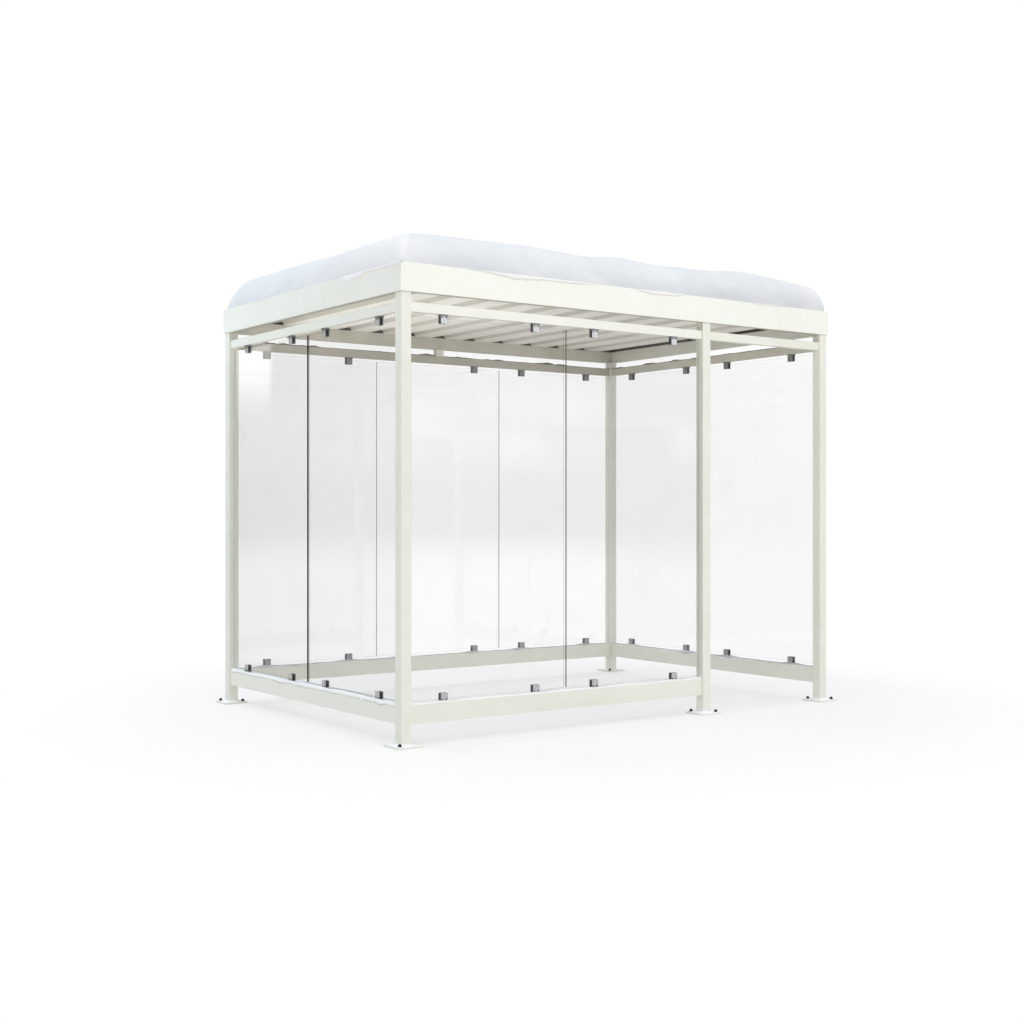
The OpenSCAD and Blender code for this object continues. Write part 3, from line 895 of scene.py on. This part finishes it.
def rail_snow(name, rail, look, seed, clamps=(), depth=0.0, wave=0.55, thin=0.0, mound=0.0, ridge=0.0,
              scoop=0, spill=0.0):
    """Snow along the top of a rail.

    Depth is its even depth, wave how much that rolls, and thin the share that it has lost at the
    rail's far end. Mound is its height round a clamp, and ridge that of its crests. Scoop is 1 or -1
    for a hollow beyond or before each clamp. Spill is how far it hangs over the rail's inner edge, or
    over the outer one where it is negative.
    """
    low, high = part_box(rail)
    along = 0 if high.x - low.x > high.y - low.y else 1
    across = 1 - along
    start = Vector((low.x, low.y, high.z - RAIL_SKIRT))
    end = high.copy()
    start[across] -= RAIL_OVERHANG
    end[across] += RAIL_OVERHANG
    cells = [12, 12, 2]
    run = high[along] - low[along]
    cells[along] = max(8, int(run / RAIL_CELL))
    shape = gridded_block(start, end, cells)
    middle = (low[across] + high[across]) / 2
    inward = -1 if middle > 0 else 1
    half = (high[across] - low[across]) / 2 + RAIL_OVERHANG
    for vert in shape.verts:
        spot = vert.co[along]
        side = (vert.co[across] - middle) / half
        heap = max([0.0] + [mound * (1 - ((spot - place[along]) / MOUND_REACH) ** 2) for place in clamps])
        body = max(0.0, depth * (1.0 + wave * rough_height(spot, side * 0.03, 4.2, seed)))
        body *= 1 - thin * (spot - low[along]) / run
        crest = ridge * max(0.0, 1.3 * rough_height(spot, side * 0.02, 7.0, seed + 4.0) + 0.35)
        thick = max(body, heap, crest)
        if scoop:
            beside = max(math.exp(-((spot - place[along] - scoop * SCOOP_ASIDE) / SCOOP_LONG) ** 2)
                         for place in clamps)
            hollow = math.exp(-((side * inward + SCOOP_IN) / SCOOP_WIDE) ** 2)
            thick *= 1 - SCOOP_DEEP * beside * hollow
        fringe = FRINGE + FRINGE_WAVE * rough_height(spot, 0, 9.0, seed + 9.0)
        fall = math.sqrt(max(0.0, 1 - (abs(side) / fringe) ** 6)) if abs(side) < fringe else 0.0
        if abs(side) > OUTERMOST:
            wavy = rough_height(spot, 0, 6.0, seed + 13.0)
            inner_hang = spill * (wavy * 2.2 - 0.35 + 0.5 * (heap > MOUND_LEAST))
            hang = max(0.0, inner_hang, -spill * (wavy * 1.4 + 0.8))
            down = (high.z - vert.co.z) / RAIL_SKIRT
            way = 1 if side > 0 else -1
            if way * inward * spill > 0 and hang > SPILL_LEAST:
                vert.co.z = high.z + RAIL_SINK * (1 - down) - down * hang
                vert.co[across] = middle + (half - SPILL_TUCK) * way
            else:
                vert.co.z = high.z - RAIL_SINK - RAIL_DROP * down
                vert.co[across] = middle + (half - RAIL_OVERHANG - RAIL_TUCK) * way
        elif vert.co.z > high.z - RAIL_SKIRT / 2:
            vert.co.z = high.z - RAIL_SINK + (thick + RAIL_SINK) * fall
    snow_object(name, shape, look)


LOWER_SNOW = {"front": {"depth": 0.0095, "wave": 0.30, "scoop": 1},
              "back": {"depth": 0.0018, "mound": 0.0090, "spill": 0.006},
              "left": {"depth": 0.0150, "wave": 0.35, "thin": 0.45, "scoop": -1, "spill": -0.009},
              "right": {"depth": 0.0018, "mound": 0.0095, "spill": 0.009}}
THIN_RIDGES = {"depth": 0.0008, "ridge": 0.0015}
THICK_RIDGES = {"depth": 0.0045, "ridge": 0.0105}
for index, wall in enumerate(WALLS):
    white_band = wall in ("front", "left")
    rail_snow("snow_lower_rail_" + wall, "lower_rail_" + wall, fresh_look if white_band else shaded_snow_look,
              1.3 + 2.7 * index, pane_clamps(wall), **LOWER_SNOW[wall])
    rail_snow("ridged_snow_upper_rail_" + wall, "upper_rail_" + wall, dark_ridge_look, 2.9 + 3.1 * index,
              **(THIN_RIDGES if white_band else THICK_RIDGES))
rail_snow("ridged_snow_door_header", "door_header_rail", dark_ridge_look, 21.7, **THIN_RIDGES)

# ---------------------------------------------------------------------------
# Snow dabs. Thumb-sized flakes of snow stuck to the lower rails' faces, just under
# their upper edges: one outside on the left, one outside on the front, and four on
# the right rail's inner face.
DAB_DOWN = 0.0120
DAB_SINK = 0.0008
# Each flake's rail, its place along it, its radius, and how many times it is stretched along it.
SNOW_DABS = (("lower_rail_left", -0.650, 0.0100, 2.0), ("lower_rail_front", 0.058, 0.0095, 1.4),
             ("lower_rail_right", 0.410, 0.0105, 3.0), ("lower_rail_right", 0.907, 0.0085, 2.2),
             ("lower_rail_right", -0.180, 0.0120, 3.4), ("lower_rail_right", -0.280, 0.0090, 3.0))
for index, (rail, place, radius, stretch) in enumerate(SNOW_DABS):
    low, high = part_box(rail)
    along = 0 if high.x - low.x > high.y - low.y else 1
    shape = bmesh.new()
    bmesh.ops.create_icosphere(shape, subdivisions=3, radius=radius)
    for vert in shape.verts:
        lump = 1 + 0.35 * rough_height(vert.co.x * 60, vert.co.z * 60, 1.0, 3.0 + index)
        wide, deep, tall = vert.co.x * lump * stretch, vert.co.y * 0.55, vert.co.z * 0.70 * lump
        vert.co[along] = place + wide
        vert.co[1 - along] = low[1 - along] - DAB_SINK + deep
        vert.co.z = high.z - DAB_DOWN + tall
    snow_object(f"snow_dab_{index + 1}", shape, fresh_look)

# ---------------------------------------------------------------------------
# Snow on the base plates. A thin pad on each open plate, drifted up a little round
# the post's foot, with the anchors' caps standing out of it. The back right plate
# is all but bare.
PLATE_SNOW = {"front_left": 0.0030, "back_left": 0.0028, "door": 0.0032, "front_right": 0.0032,
              "back_right": 0.0006}
BARE_UNDER = 0.001
PLATE_RIM = 0.002
PAD_SKIRT = 0.001
PLATE_SINK = 0.0008
DRIFT_TALL = 0.006
DRIFT_FROM = 0.40
DRIFT_WIDE = 0.25
plate_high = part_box("base_plates")[1]
corner_low, corner_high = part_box("post_front_right")
reach = plate_high.x - (corner_low.x + corner_high.x) / 2 - PLATE_RIM
for index, foot in enumerate(POSTS):
    depth = PLATE_SNOW[foot]
    low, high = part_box("post_" + foot)
    middle = (low + high) / 2
    start = Vector((middle.x - reach, middle.y - reach, plate_high.z - PAD_SKIRT))
    end = Vector((middle.x + reach, middle.y + reach, plate_high.z))
    shape = gridded_block(start, end, (26, 26, 1))
    for vert in shape.verts:
        x, y = (vert.co.x - middle.x) / reach, (vert.co.y - middle.y) / reach
        out = max(abs(x), abs(y))
        fringe = 0.95 + 0.04 * rough_height(x, y, 3.0, 1.0 + index)
        fall = math.sqrt(max(0.0, 1 - (out / fringe) ** 8)) if out < fringe else 0.0
        drift = DRIFT_TALL * max(0.0, 1 - (out - DRIFT_FROM) / DRIFT_WIDE) if depth > BARE_UNDER else 0.0
        body = depth * (1 + 0.5 * rough_height(x, y, 2.0, 6.0 + index)) + drift
        if vert.co.z > plate_high.z - PAD_SKIRT / 2:
            vert.co.z = plate_high.z - PLATE_SINK + (max(0.0, body) + PLATE_SINK) * fall
    snow_object("snow_plate_" + foot, shape, fresh_look)
